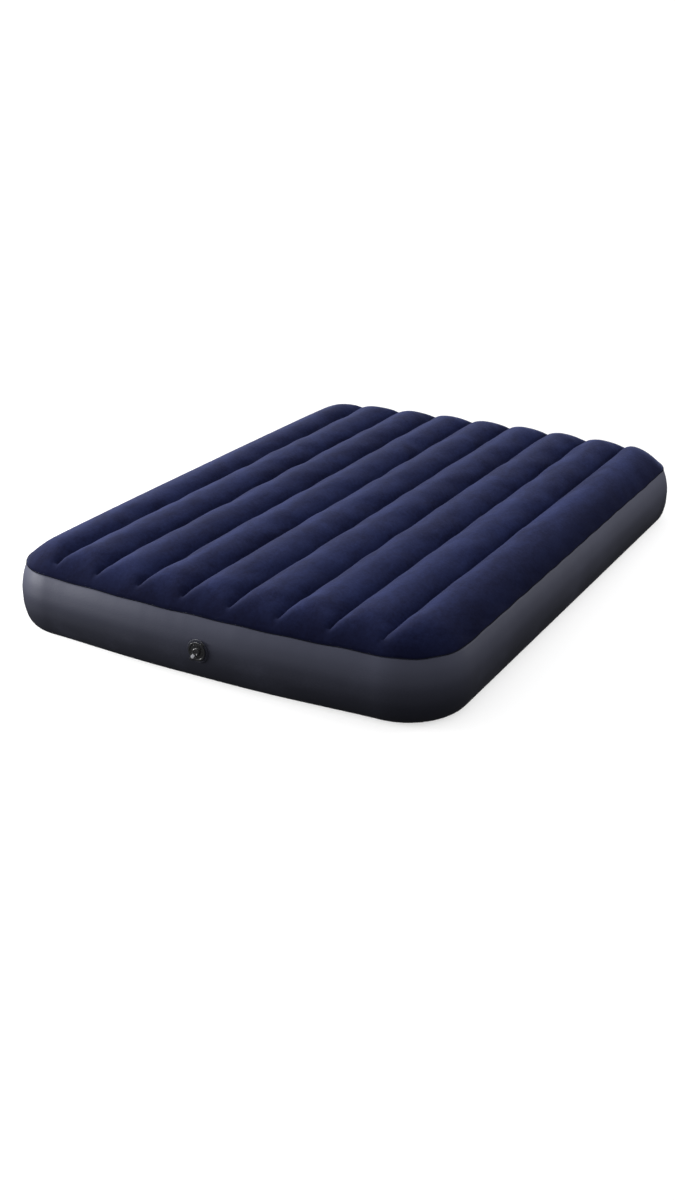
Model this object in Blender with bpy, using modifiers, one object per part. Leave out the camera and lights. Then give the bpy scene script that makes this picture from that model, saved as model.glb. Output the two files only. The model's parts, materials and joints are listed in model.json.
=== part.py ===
"""Inflatable double bed with a ribbed, flocked top and a two-stage air valve in its foot wall.

Units are metres and +Z is up.  X runs across the bed, Y along it, and the foot faces -Y.
The origin is on the floor, below the middle of the bed.  The air chamber is a top sheet, a side
wall and a base sheet welded along their edges.  Inside it, eight tension curtains tie the top
sheet to the base along the grooves.
"""
import math

import bmesh
import bpy
from mathutils import Vector

# Driving dimensions of the bed, blown up and standing on a floor.
LENGTH = 1.91
WIDTH = 1.37
CREST_Z = 0.242          # the top of the ribs
GROOVE_Z = 0.206         # the bottom of the grooves between them
SEAM_Z = 0.189           # the weld between the top sheet and the side wall
GROOVES = 8
PITCH = 0.143            # from one groove to the next
BULGE = 0.0195           # how far the side wall swells past that weld
CORNER_RADIUS = 0.16     # of the weld, seen from above
END_BOW = 0.02           # how far the short ends curve outwards
BOW_FLAT = 0.08          # half of the straight stretch in the middle of an end
RIM_WIDTH = 0.13         # the stretch over which the top rises from the weld to its full height
SHEET = 0.0006           # thickness of the vinyl film
GAP = 0.0003             # clearance between pieces that touch
BASE_INSET = 0.022       # from the top weld's outline in to the edge of the base sheet
BASE_LAP = 0.0125        # how far the base sheet lies on the wall's lower margin
BASE_LAP_Z = 0.0011
BASE_GROOVE = 0.012      # how far the curtains lift the base sheet

# The tension curtains and the strips that weld them to the sheets.
CURTAIN = 0.0006
STRIP_WIDTH = 0.010
STRIP = 0.0006
CURTAIN_LENGTH = 1.70

# The side wall from its top weld down to its base weld: distance outwards, and height.
WALL_PROFILE = ((0.0, SEAM_Z - SHEET - GAP), (0.010, 0.163), (BULGE, 0.130), (BULGE, 0.056),
                (0.011, 0.024), (-0.003, 0.006), (-0.014, 0.0), (-0.030, 0.0))

# The valve.  Its own frame has +Z out of the wall, and +X towards the straps' roots.
VALVE_X = 0.010
VALVE_Z = 0.0925
VALVE_CLOCKING = math.radians(53)
WALL_HOLE_R = 0.0245
LARGE_HINGE = Vector((0.029, 0, 0.0046))
SMALL_HINGE = Vector((0.014, 0, 0.0089))
FLAP_HINGE = Vector((0.0098, 0, -0.0087))
TURNED_STEPS = 32

# Colour, roughness and metallic value of each finish.
FINISHES = {
    "navy_flock": ((0.022, 0.025, 0.082, 1), 0.95, 0.0),
    "charcoal_vinyl": ((0.045, 0.046, 0.060, 1), 0.45, 0.0),
    "base_vinyl": ((0.035, 0.036, 0.045, 1), 0.55, 0.0),
    "strand_white": ((0.60, 0.60, 0.58, 1), 0.60, 0.0),
    "weld_tape": ((0.10, 0.11, 0.16, 1), 0.50, 0.0),
    "valve_black": ((0.030, 0.030, 0.036, 1), 0.35, 0.0),
    "plug_grey": ((0.060, 0.060, 0.068, 1), 0.30, 0.0),
    "clear_tab": ((0.550, 0.560, 0.590, 1), 0.15, 0.0),
    "soft_rubber": ((0.120, 0.120, 0.130, 1), 0.50, 0.0),
}

SEAM_HALF_WIDTH = WIDTH / 2 - BULGE
SEAM_HALF_LENGTH = LENGTH / 2 - BULGE
STRAIGHT_X = SEAM_HALF_WIDTH - CORNER_RADIUS
STRAIGHT_Y = SEAM_HALF_LENGTH - END_BOW - CORNER_RADIUS


def clear_scene():
    """Empty the open file."""
    for old in list(bpy.data.objects):
        bpy.data.objects.remove(old, do_unlink=True)


def finish(name):
    """One material for each finish."""
    material = bpy.data.materials.get(name)
    if material:
        return material
    colour, roughness, metallic = FINISHES[name]
    material = bpy.data.materials.new(name)
    material.use_nodes = True
    shader = material.node_tree.nodes["Principled BSDF"]
    shader.inputs["Base Color"].default_value = colour
    shader.inputs["Roughness"].default_value = roughness
    shader.inputs["Metallic"].default_value = metallic
    material.diffuse_color = colour
    return material


def add_object(name, mesh, material, parent=None, place=(0, 0, 0)):
    """A mesh as a named object of the bed."""
    mesh.materials.append(finish(material))
    piece = bpy.data.objects.new(name, mesh)
    piece.location = place
    piece.parent = parent
    bpy.data.collections["air_mattress"].objects.link(piece)
    return piece


def add_empty(name, parent=None, place=(0, 0, 0), turn=(0, 0, 0)):
    """An empty that places the pieces below it."""
    empty = bpy.data.objects.new(name, None)
    empty.location = place
    empty.rotation_euler = turn
    empty.parent = parent
    empty.empty_display_size = 0.02
    bpy.data.collections["air_mattress"].objects.link(empty)
    return empty


def thicken(piece, thickness, offset=-1.0):
    """Give an open sheet its thickness, inwards from the surface drawn."""
    solidify = piece.modifiers.new("film", 'SOLIDIFY')
    solidify.thickness = thickness
    solidify.offset = offset


def mesh_of(bm, name, smooth_angle=None):
    """The bmesh as a mesh, shaded smooth where it is round."""
    mesh = bpy.data.meshes.new(name)
    bm.to_mesh(mesh)
    bm.free()
    if smooth_angle is not None:
        mesh.shade_smooth()
        mesh.set_sharp_from_angle(angle=smooth_angle)
    return mesh


# ---------------------------------------------------------------- the outline and the top's form

def end_bow(x):
    """How far an end curves outwards at x."""
    reach = max(0.0, abs(x) - BOW_FLAT) / (STRAIGHT_X - BOW_FLAT)
    return END_BOW * (1 - min(reach, 1.0) ** 2) ** 1.5


def half_length(x, outset=0.0):
    """Half the length of the outline at x, when the outline stands outset outside the top weld."""
    past = abs(x) - STRAIGHT_X
    if past <= 0:
        return STRAIGHT_Y + CORNER_RADIUS + outset + end_bow(x)
    radius = CORNER_RADIUS + outset
    return STRAIGHT_Y + math.sqrt(max(radius ** 2 - past ** 2, 0.0))


def edge_distance(x, y, outset=0.0):
    """Distance from a point inside the outline to the outline."""
    past_x, past_y = abs(x) - STRAIGHT_X, abs(y) - STRAIGHT_Y
    if past_x > 0 and past_y > 0:
        return CORNER_RADIUS + outset - math.hypot(past_x, past_y)
    return min(SEAM_HALF_WIDTH + outset - abs(x), half_length(x, outset) - abs(y))


def groove_xs():
    """The x of each groove."""
    return [(i - (GROOVES - 1) / 2) * PITCH for i in range(GROOVES)]


def groove_share(x):
    """0 on the crest of a rib, 1 in a groove."""
    away = min(abs(x - groove) for groove in groove_xs())
    return max(0.0, 1 - away / (PITCH / 2))


def top_height(x, y):
    """Height of the top sheet: a rounded rim, with ribs above the level of the grooves."""
    share = min(max(edge_distance(x, y) / RIM_WIDTH, 0.0), 1.0)
    rim = SEAM_Z + (CREST_Z - SEAM_Z) * (1 - (1 - share) ** 2)
    return rim - max(rim - GROOVE_Z, 0.0) * groove_share(x) ** 2


def base_height(x, y):
    """Height of the base sheet: flat lands on the floor, lifted in lines below the curtains."""
    inside = edge_distance(x, y, -BASE_INSET)
    if inside < BASE_LAP:
        return BASE_LAP_Z
    share = min(max((inside - BASE_LAP) / RIM_WIDTH, 0.0), 1.0)
    return BASE_GROOVE * share * max(groove_share(x) - 0.5, 0.0) / 0.5


def columns(rib_steps, edge_steps, outset):
    """The x of each grid line across the bed, from one side to the other."""
    outer = groove_xs()[-1]
    edge = SEAM_HALF_WIDTH + outset
    steps = rib_steps * (GROOVES - 1)
    inner = [outer * (2 * i / steps - 1) for i in range(steps + 1)]
    quarter = [math.pi / 2 * i / edge_steps for i in range(1, edge_steps + 1)]
    side = [outer + (edge - outer) * math.sin(t) for t in quarter]
    return [-x for x in reversed(side)] + inner + side


def sheet(name, xs, insets, middle_rows, outset, height, material, face_up):
    """A sheet over the whole plan: a grid laid out on the columns, and curved by its height."""
    rows = 2 * len(insets) + middle_rows
    bm = bmesh.new()
    bmesh.ops.create_grid(bm, x_segments=len(xs) - 1, y_segments=rows - 1, size=1.0)
    for vert in bm.verts:
        x = xs[round((vert.co.x + 1) / 2 * (len(xs) - 1))]
        row = round((vert.co.y + 1) / 2 * (rows - 1))
        end = half_length(x, outset)
        from_end = min(row, rows - 1 - row)
        side = -1 if row < rows / 2 else 1
        if from_end < len(insets):
            y = side * (end - insets[from_end] * min(1.0, end / STRAIGHT_Y))
        else:
            y = ((row - len(insets) + 0.5) / middle_rows * 2 - 1) * (STRAIGHT_Y - 0.02)
        vert.co = Vector((x, y, height(x, y)))
    if not face_up:
        bmesh.ops.reverse_faces(bm, faces=bm.faces)
    piece = add_object(name, mesh_of(bm, name, math.radians(35)), material)
    thicken(piece, SHEET)
    return piece


def outline_points(outset, end_steps=7, corner_steps=8, side_steps=4):
    """The plan outline as a loop, anticlockwise from the foot's left end."""
    quarter = [math.pi / 2 * i / corner_steps for i in range(corner_steps)]
    radius = CORNER_RADIUS + outset
    along_end = [STRAIGHT_X * (2 * i / end_steps - 1) for i in range(end_steps)]
    along_side = [STRAIGHT_Y * (2 * i / side_steps - 1) for i in range(side_steps)]
    half = [Vector((x, -half_length(x, outset), 0)) for x in along_end]
    half += [Vector((STRAIGHT_X + radius * math.sin(t), -STRAIGHT_Y - radius * math.cos(t), 0)) for t in quarter]
    half += [Vector((SEAM_HALF_WIDTH + outset, y, 0)) for y in along_side]
    half += [Vector((STRAIGHT_X + radius * math.cos(t), STRAIGHT_Y + radius * math.sin(t), 0)) for t in quarter]
    return half + [Vector((-p.x, -p.y, 0)) for p in half]


def side_wall():
    """The band round the bed: its outline extruded down the wall's profile, with the valve hole."""
    bm = bmesh.new()
    rings = [outline_points(outset) for outset, _ in WALL_PROFILE]
    bmesh.ops.create_circle(bm, segments=len(rings[0]), radius=1.0, cap_ends=False)
    bm.verts.ensure_lookup_table()
    edges = list(bm.edges)
    verts = list(bm.verts)
    for vert, point in zip(verts, rings[0]):
        vert.co = Vector((point.x, point.y, WALL_PROFILE[0][1]))
    for ring, (_, height) in zip(rings[1:], WALL_PROFILE[1:]):
        index_of = {vert: i for i, vert in enumerate(verts)}
        made = bmesh.ops.extrude_edge_only(bm, edges=edges)["geom"]
        new_verts = [None] * len(verts)
        for vert in [g for g in made if isinstance(g, bmesh.types.BMVert)]:
            source = next(e.other_vert(vert) for e in vert.link_edges if e.other_vert(vert) in index_of)
            new_verts[index_of[source]] = vert
        for vert, point in zip(new_verts, ring):
            vert.co = Vector((point.x, point.y, height))
        verts = new_verts
        edges = [g for g in made if isinstance(g, bmesh.types.BMEdge)]
    bmesh.ops.recalc_face_normals(bm, faces=bm.faces)
    foot = min(bm.faces, key=lambda face: face.calc_center_median().y)
    if foot.normal.y > 0:
        bmesh.ops.reverse_faces(bm, faces=bm.faces)
    wall = add_object("side_wall_band", mesh_of(bm, "side_wall_band", math.radians(40)), "charcoal_vinyl")
    thicken(wall, SHEET)

    hole = cylinder_cutter("valve_hole_cutter", WALL_HOLE_R, 0.02)
    hole.location = (VALVE_X, -LENGTH / 2, VALVE_Z)
    hole.rotation_euler = (math.pi / 2, 0, 0)
    cut = wall.modifiers.new("valve_hole", 'BOOLEAN')
    cut.object = hole
    cut.operation = 'DIFFERENCE'
    cut.solver = 'EXACT'
    return wall


def cylinder_cutter(name, radius, depth):
    """A cylinder that cuts a round hole."""
    bm = bmesh.new()
    bmesh.ops.create_cone(bm, cap_ends=True, segments=TURNED_STEPS, radius1=radius, radius2=radius, depth=depth)
    cutter = bpy.data.objects.new(name, mesh_of(bm, name))
    cutter.hide_render = True
    cutter.display_type = 'WIRE'
    bpy.data.collections["cutters"].objects.link(cutter)
    return cutter


# ---------------------------------------------------------------- the tension curtains

def bar(name, size, place, material, parent=None, rounding=0.0, turn=(0, 0, 0)):
    """A flat bar, its upright edges rounded where asked."""
    bm = bmesh.new()
    bmesh.ops.create_cube(bm, size=1.0)
    bmesh.ops.scale(bm, vec=size, verts=bm.verts)
    if rounding:
        upright = [edge for edge in bm.edges if abs(edge.verts[0].co.z - edge.verts[1].co.z) > size[2] / 2]
        bmesh.ops.bevel(bm, geom=upright, offset=rounding, segments=4, affect='EDGES', profile=0.5)
    piece = add_object(name, mesh_of(bm, name), material, parent, place)
    piece.rotation_euler = turn
    return piece


def tension_curtains():
    """Under each groove: a curtain of strands, and a weld strip along its upper and lower edge."""
    top_strip = GROOVE_Z - SHEET - GAP - 0.0004
    base_strip = BASE_GROOVE + SHEET + GAP + 0.0004
    low = base_strip + STRIP + GAP
    high = top_strip - STRIP - GAP
    for number, x in enumerate(groove_xs(), start=1):
        strip = (STRIP_WIDTH, CURTAIN_LENGTH, STRIP)
        bar(f"top_weld_strip_{number}", strip, (x, 0, top_strip - STRIP / 2), "weld_tape")
        bar(f"base_weld_strip_{number}", strip, (x, 0, base_strip + STRIP / 2), "weld_tape")
        size = (CURTAIN, CURTAIN_LENGTH, high - low)
        bar(f"tension_curtain_{number}", size, (x, 0, (low + high) / 2), "strand_white")


# ---------------------------------------------------------------- the valve

def turned(name, profile, material, parent, place=(0, 0, 0), closed=True):
    """A turned piece: (radius, height) points in millimetres, down the outer side first."""
    bm = bmesh.new()
    verts = [bm.verts.new((radius / 1000, 0, height / 1000)) for radius, height in profile]
    for first, second in zip(verts, verts[1:]):
        bm.edges.new((first, second))
    if closed:
        bm.edges.new((verts[-1], verts[0]))
    piece = add_object(name, mesh_of(bm, name), material, parent, place)
    screw = piece.modifiers.new("turn", 'SCREW')
    screw.steps = TURNED_STEPS
    screw.render_steps = TURNED_STEPS
    screw.use_merge_vertices = True
    screw.merge_threshold = 0.00001
    screw.use_smooth_shade = True
    return piece


def valve_seat(valve):
    """The flange welded to the wall, its neck, and the block that holds the large plug's strap."""
    turned("valve_seat", ((22.0, 2.5), (31.2, 2.5), (32.0, 1.8), (32.0, 0.3), (23.8, 0.3), (23.5, -13.2),
                          (22.7, -14.0), (21.0, -14.0), (21.0, 1.5)), "valve_black", valve)
    bar("strap_anchor", (0.0026, 0.011, 0.0019), (0.0312, 0, 0.00375), "valve_black", valve, rounding=0.001)


def large_plug(valve):
    """The wide plug that opens the neck: its gasket, strap and pull tab, and the post on its face."""
    pivot = add_empty("large_plug_pivot", valve, LARGE_HINGE)
    turned("large_plug", ((9.0, 8.0), (9.4, 5.2), (20.5, 5.2), (21.8, 6.8), (24.9, 6.8), (25.5, 6.2),
                          (25.5, 3.9), (20.6, 3.9), (20.3, 1.5), (18.2, -10.4), (17.4, -11.0), (16.4, -11.0),
                          (18.6, 2.8), (9.6, 2.8), (9.2, -8.0), (7.0, -8.0), (7.0, 7.6), (7.4, 8.0)),
           "plug_grey", pivot, -LARGE_HINGE)
    turned("plug_gasket", ((21.8, 3.6), (24.4, 3.6), (24.6, 3.2), (24.4, 2.8), (21.8, 2.8), (21.6, 3.2)),
           "soft_rubber", pivot, -LARGE_HINGE)
    bar("large_plug_strap", (0.0030, 0.009, 0.0012), Vector((0.0274, 0, 0.0046)) - LARGE_HINGE,
        "plug_grey", pivot)
    bar("large_plug_pull_tab", (0.0075, 0.010, 0.0014), Vector((-0.0297, 0, 0.0056)) - LARGE_HINGE,
        "plug_grey", pivot, rounding=0.003)
    bar("small_strap_post", (0.0026, 0.008, 0.0040), Vector((0.0162, 0, 0.0075)) - LARGE_HINGE,
        "plug_grey", pivot, rounding=0.0008)
    return pivot


def small_plug(pivot):
    """The plug of the inflation bore, with its strap and pull tab."""
    small = add_empty("small_plug_pivot", pivot, SMALL_HINGE - LARGE_HINGE)
    turned("small_plug", ((0, 10.4), (5.6, 10.4), (6.6, 11.2), (8.8, 11.2), (10.2, 10.2), (10.2, 8.3),
                          (6.6, 8.3), (4.9, 1.2), (4.2, 0.8), (0, 0.8)), "plug_grey", small, -SMALL_HINGE,
           closed=False)
    bar("small_plug_strap", (0.0030, 0.006, 0.0010), Vector((0.0122, 0, 0.0089)) - SMALL_HINGE,
        "plug_grey", small)
    bar("small_plug_pull_tab", (0.0130, 0.0085, 0.0014), Vector((-0.0170, 0, 0.0094)) - SMALL_HINGE,
        "clear_tab", small, rounding=0.0025)


def check_flap(pivot):
    """The non-return flap over the inner end of the inflation bore, and the clip that holds it."""
    hinge = add_empty("check_flap_pivot", pivot, FLAP_HINGE - LARGE_HINGE)
    turned("check_flap", ((0, -8.3), (8.4, -8.3), (8.7, -8.6), (8.4, -9.0), (0, -9.0)), "soft_rubber", hinge,
           -FLAP_HINGE, closed=False)
    bar("flap_clip", (0.0030, 0.006, 0.0030), Vector((0.0122, 0, -0.0078)) - LARGE_HINGE, "valve_black",
        pivot, rounding=0.0008)


def main():
    """Build the whole bed."""
    clear_scene()
    for name in ("air_mattress", "cutters"):
        collection = bpy.data.collections.get(name) or bpy.data.collections.new(name)
        if name not in bpy.context.scene.collection.children:
            bpy.context.scene.collection.children.link(collection)

    sheet("flocked_top_sheet", columns(4, 6, 0.0), (0.0, 0.012, 0.026, 0.05, 0.08, 0.12), 6, 0.0,
          top_height, "navy_flock", face_up=True)
    sheet("base_sheet", columns(4, 4, -BASE_INSET), (0.0, 0.011, 0.025, 0.13), 4, -BASE_INSET,
          base_height, "base_vinyl", face_up=False)
    side_wall()
    tension_curtains()

    on_wall = add_empty("valve_mount", None, (VALVE_X, -LENGTH / 2, VALVE_Z), (math.pi / 2, 0, 0))
    valve = add_empty("valve_frame", on_wall, (0, 0, 0), (0, 0, VALVE_CLOCKING))
    valve_seat(valve)
    pivot = large_plug(valve)
    small_plug(pivot)
    check_flap(pivot)


main()
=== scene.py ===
"""The looks of an inflatable double bed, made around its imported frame.

Each welded sheet, weld and valve part is a piece of its own and moves with a body of the frame.
Units are metres, +Z is up, and the bed's foot, which holds the valve, faces -Y.
"""
import json
import math

import bmesh
import bpy
from bpy.props import FloatProperty, FloatVectorProperty, IntProperty, PointerProperty
from mathutils import Matrix, Vector, noise
from mathutils.bvhtree import BVHTree


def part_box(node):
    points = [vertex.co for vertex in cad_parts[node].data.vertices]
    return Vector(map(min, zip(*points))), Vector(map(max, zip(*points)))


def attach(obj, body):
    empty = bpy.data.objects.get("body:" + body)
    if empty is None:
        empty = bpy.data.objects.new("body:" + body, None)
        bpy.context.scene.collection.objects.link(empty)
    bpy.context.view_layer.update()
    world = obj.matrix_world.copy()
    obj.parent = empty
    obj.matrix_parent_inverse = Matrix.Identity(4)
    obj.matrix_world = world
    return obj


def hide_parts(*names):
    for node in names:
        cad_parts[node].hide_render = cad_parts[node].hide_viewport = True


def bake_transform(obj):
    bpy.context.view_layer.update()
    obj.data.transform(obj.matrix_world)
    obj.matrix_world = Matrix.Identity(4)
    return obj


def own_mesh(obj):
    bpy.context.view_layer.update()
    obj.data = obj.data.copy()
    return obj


bl_info = {
    "name": "Airbed Looks",
    "version": (1, 0, 0),
    "blender": (4, 5, 0),
    "location": "View3D > Sidebar > Airbed",
    "description": "Makes the sheets, welds, valve and studio of an inflatable bed",
    "category": "Object",
}

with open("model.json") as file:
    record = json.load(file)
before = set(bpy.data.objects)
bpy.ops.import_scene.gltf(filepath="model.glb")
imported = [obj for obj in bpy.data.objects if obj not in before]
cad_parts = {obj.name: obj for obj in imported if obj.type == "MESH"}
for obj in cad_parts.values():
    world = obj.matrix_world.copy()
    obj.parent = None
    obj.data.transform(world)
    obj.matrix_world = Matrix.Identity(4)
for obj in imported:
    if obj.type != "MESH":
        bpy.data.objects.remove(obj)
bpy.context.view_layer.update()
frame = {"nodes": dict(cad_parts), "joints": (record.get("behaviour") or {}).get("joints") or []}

# What the frame gives.
RIBS = 9
CURTAINS = [f"tension_curtain_{i}" for i in range(1, RIBS)]
TOP_STRIPS = [f"top_weld_strip_{i}" for i in range(1, RIBS)]
BASE_STRIPS = [f"base_weld_strip_{i}" for i in range(1, RIBS)]
TOP_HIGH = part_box("flocked_top_sheet")[1]
WALL_LOW, WALL_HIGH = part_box("side_wall_band")
BASE_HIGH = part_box("base_sheet")[1]
SEAT_LOW, SEAT_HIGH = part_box("valve_seat")
CURTAIN_LOW, CURTAIN_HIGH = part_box(CURTAINS[0])
GROOVE_XS = [(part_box(name)[0].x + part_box(name)[1].x) / 2 for name in CURTAINS]
PITCH = GROOVE_XS[1] - GROOVE_XS[0]
SINK = next(joint for joint in frame["joints"] if joint["name"] == "top_panel_sink")["range_m"][1]
HALF_WIDTH = TOP_HIGH.x
HALF_LENGTH = TOP_HIGH.y
SEAM_Z = WALL_HIGH.z - 0.0085
CREST_Z = TOP_HIGH.z
GROOVE_Z = CURTAIN_HIGH.z + 0.0022
BULGE = WALL_HIGH.x - TOP_HIGH.x
VALVE = Vector(((SEAT_LOW.x + SEAT_HIGH.x) / 2, WALL_LOW.y, (SEAT_LOW.z + SEAT_HIGH.z) / 2))

# The side wall from its top weld to the floor: share of the way down, distance outside the weld, and
# height as a share of the weld's.
WALL_STOPS = ((0.0, 0.0, 1.0), (0.16, 0.0115, 0.835), (0.36, BULGE, 0.62), (0.62, BULGE * 0.97, 0.34),
              (0.80, 0.0105, 0.135), (0.92, -0.004, 0.022), (1.0, -0.018, 0.0))

# Half sections of the turned valve parts: radius and height above the wall, in millimetres.
FLANGE_SECTION = ((22.0, 2.5), (26.4, 2.5), (26.8, 2.8), (27.2, 2.5), (29.2, 2.5), (29.6, 2.8), (30.0, 2.5),
                  (31.2, 2.4), (32.0, 1.7), (32.0, 0.3), (23.8, 0.3), (23.5, -13.2), (22.7, -14.0),
                  (21.0, -14.0), (21.0, 1.5))
WIDE_PLUG_SECTION = ((9.0, 8.0), (9.4, 5.2), (12.2, 5.2), (12.6, 5.25), (18.6, 5.25), (19.0, 5.2),
                     (20.5, 5.2), (21.8, 6.8), (24.9, 6.8), (25.5, 6.2), (25.5, 3.9), (20.6, 3.9),
                     (20.3, 1.5), (18.2, -10.4), (17.4, -11.0), (16.4, -11.0), (18.6, 2.8),
                     (9.6, 2.8), (9.2, -8.0), (7.0, -8.0), (7.0, 7.6), (7.4, 8.0))
BORE_PLUG_SECTION = ((0.0, 10.4), (3.4, 10.4), (3.9, 10.7), (4.4, 10.4), (5.6, 10.4), (6.6, 11.2),
                     (8.8, 11.2), (10.2, 10.2), (10.2, 8.3), (6.6, 8.3), (4.9, 1.2), (4.2, 0.8), (0.0, 0.8))
GASKET_SECTION = ((21.6, 3.2), (21.8, 3.6), (24.4, 3.6), (24.6, 3.2), (24.4, 2.8), (21.8, 2.8))
FLAP_SECTION = ((0.0, -8.3), (8.4, -8.3), (8.7, -8.6), (8.4, -9.0), (0.0, -9.0))

# The soft straps, from the plug's rim over the line where they bend: x and height in millimetres, and
# share of the strap's width.
WIDE_PLUG_STRAP = ((25.0, 5.0, 1.0), (26.4, 4.8, 1.0), (27.2, 4.6, 0.9),
                   *((27.6 + 0.2 * i, 4.6, 0.82) for i in range(15)),
                   (30.8, 4.6, 0.9), (31.4, 4.6, 1.0), (32.3, 4.4, 1.0), (32.5, 4.2, 0.9))
BORE_PLUG_STRAP = ((9.6, 9.1, 1.0), (11.4, 8.9, 0.95), (12.4, 8.9, 0.85),
                   *((12.6 + 0.2 * i, 8.9, 0.8) for i in range(15)),
                   (15.8, 8.9, 0.9), (16.6, 8.9, 1.0))

AIR_FRAMES = 18             # frames of air pressure under the top's film
AIR_REACH = 0.012           # the furthest that the air moves a point of it
WALL_ROWS = 30              # grid rows up the side wall
HOLE_RADIUS = 0.0255        # the hole in the wall, hidden by the valve's flange
STRANDS_IN_A_ROW = 150
STRAND_RADIUS = 0.0006
PAINTED_SHADE_HEIGHT = 0.19        # below this height the wall's vinyl is darkened towards the floor by painted shade


# ================================================================ sizes and colours a user changes

class AirbedShape(bpy.types.PropertyGroup):
    """The form of the blown-up sheets."""

    corner_radius: FloatProperty(name="Corner radius", description="Radius of the top weld's corners",
                                 default=0.16, min=0.05, max=0.3, unit='LENGTH')
    end_bow: FloatProperty(name="End bow", description="How far the short ends curve outwards",
                           default=0.02, min=0.0, max=0.05, unit='LENGTH')
    bow_flat: FloatProperty(name="Bow flat", description="Half of the straight stretch of an end",
                            default=0.08, min=0.0, max=0.3, unit='LENGTH')
    rim_width: FloatProperty(name="Rim width", description="Stretch over which the top rises from its weld",
                             default=0.13, min=0.05, max=0.2, unit='LENGTH')
    film: FloatProperty(name="Film", description="Thickness of the vinyl film", default=0.0006,
                        min=0.0003, max=0.002, unit='LENGTH')
    lip_width: FloatProperty(name="Weld lip", description="How far the top weld's lip stands out",
                             default=0.002, min=0.001, max=0.01, unit='LENGTH')
    pucker: FloatProperty(name="Pucker", description="Depth of the small puckers along the welds",
                          default=0.0006, min=0.0, max=0.005, unit='LENGTH')


class AirbedFinish(bpy.types.PropertyGroup):
    """The colours of the bed's materials."""

    flock: FloatVectorProperty(name="Flock", description="Navy of the flocked face", subtype='COLOR',
                               size=3, min=0, max=1, default=(0.024, 0.033, 0.108))
    flock_brushed: FloatVectorProperty(name="Brushed flock", description="Flock whose nap lies over",
                                       subtype='COLOR', size=3, min=0, max=1,
                                       default=(0.006, 0.0062, 0.024))
    vinyl: FloatVectorProperty(name="Vinyl", description="Charcoal of the side wall", subtype='COLOR',
                               size=3, min=0, max=1, default=(0.088, 0.093, 0.138))
    moulding: FloatVectorProperty(name="Moulding", description="Dark grey of the valve", subtype='COLOR',
                                  size=3, min=0, max=1, default=(0.045, 0.046, 0.052))
    # the pull tab's own pale vinyl, made paler to paint white highlights on it
    tab: FloatVectorProperty(name="Pull tab", description="Pale soft vinyl of the pull tabs",
                             subtype='COLOR', size=3, min=0, max=1, default=(0.55, 0.56, 0.60))


class AirbedDetail(bpy.types.PropertyGroup):
    """How finely the sheets are divided."""

    rib_steps: IntProperty(name="Rib steps", description="Grid steps across a rib", default=18, min=6, max=40)
    rows: IntProperty(name="Rows", description="Grid steps along the bed", default=210, min=40, max=400)
    wall_steps: IntProperty(name="Wall steps", description="Steps round the bed", default=760, min=80,
                            max=1600)


# ================================================================ shader expressions

class Term:
    """A shader value.  Sums and products of terms and numbers add Math nodes."""

    def __init__(self, shader, socket):
        self.shader = shader
        self.socket = socket

    def _math(self, operation, first, second):
        return self.shader.add('ShaderNodeMath', {"operation": operation}, first, second)

    def __add__(self, other):
        return self._math('ADD', self, other)

    def __sub__(self, other):
        return self._math('SUBTRACT', self, other)

    def __mul__(self, other):
        return self._math('MULTIPLY', self, other)

    def __rsub__(self, other):
        return self._math('SUBTRACT', other, self)

    def __pow__(self, other):
        return self._math('POWER', self, other)

    __radd__ = __add__
    __rmul__ = __mul__


class Nodes:
    """A node tree whose nodes are made from expressions."""

    def __init__(self, tree):
        self.tree = tree

    def add(self, kind, settings=None, *values, output=0, **named):
        """Add one node, set it, feed its sockets, and give the chosen output."""
        node = self.tree.nodes.new(kind)
        for key, value in (settings or {}).items():
            setattr(node, key, value)
        for index, value in enumerate(values):
            self.feed_socket(node.inputs[index], value)
        for socket, value in named.items():
            self.feed_socket(node.inputs[socket.replace("_", " ")], value)
        return Term(self, node.outputs[output])

    def feed_socket(self, socket, value):
        """Link a term to a socket, or set a plain value on it.  None leaves it as it is."""
        if isinstance(value, Term):
            self.tree.links.new(value.socket, socket)
        elif value is not None:
            socket.default_value = value


class Shader(Nodes):
    """A material made from expressions, with constants on its surface."""

    def __init__(self, name, **constants):
        self.material = bpy.data.materials.new(name)
        self.material.use_nodes = True
        super().__init__(self.material.node_tree)
        self.surface = self.tree.nodes["Principled BSDF"]
        for socket, value in constants.items():
            self.surface.inputs[socket.replace("_", " ")].default_value = value

    def place(self, scale=(1, 1, 1)):
        """Object coordinates, stretched."""
        coordinates = self.add('ShaderNodeTexCoord', output="Object")
        return self.add('ShaderNodeMapping', {}, coordinates, Scale=scale)

    def noise(self, place, scale, detail=3.0, roughness=0.5, distortion=0.0):
        """Soft noise from 0 to 1."""
        return self.add('ShaderNodeTexNoise', {}, Vector=place, Scale=scale, Detail=detail,
                        Roughness=roughness, Distortion=distortion)

    def ramp(self, value, low, high):
        """0 below low, 1 above high, smooth between."""
        return self.add('ShaderNodeMapRange', {"interpolation_type": 'SMOOTHSTEP'}, value, low, high,
                        0.0, 1.0)

    def mix(self, share, first, second):
        """One colour running into another."""
        first, second = (value if isinstance(value, Term) else (*value, 1.0) for value in (first, second))
        other_kinds = (None,) * 5
        return self.add('ShaderNodeMix', {"data_type": 'RGBA'}, share, *other_kinds, first, second, output=2)

    def feed(self, **sockets):
        """Feed the surface's own sockets."""
        for socket, value in sockets.items():
            self.feed_socket(self.surface.inputs[socket.replace("_", " ")], value)

    def bump(self, height, strength, distance):
        """Raise the surface by a height."""
        self.feed(Normal=self.add('ShaderNodeBump', {}, Height=height, Strength=strength, Distance=distance))


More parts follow.
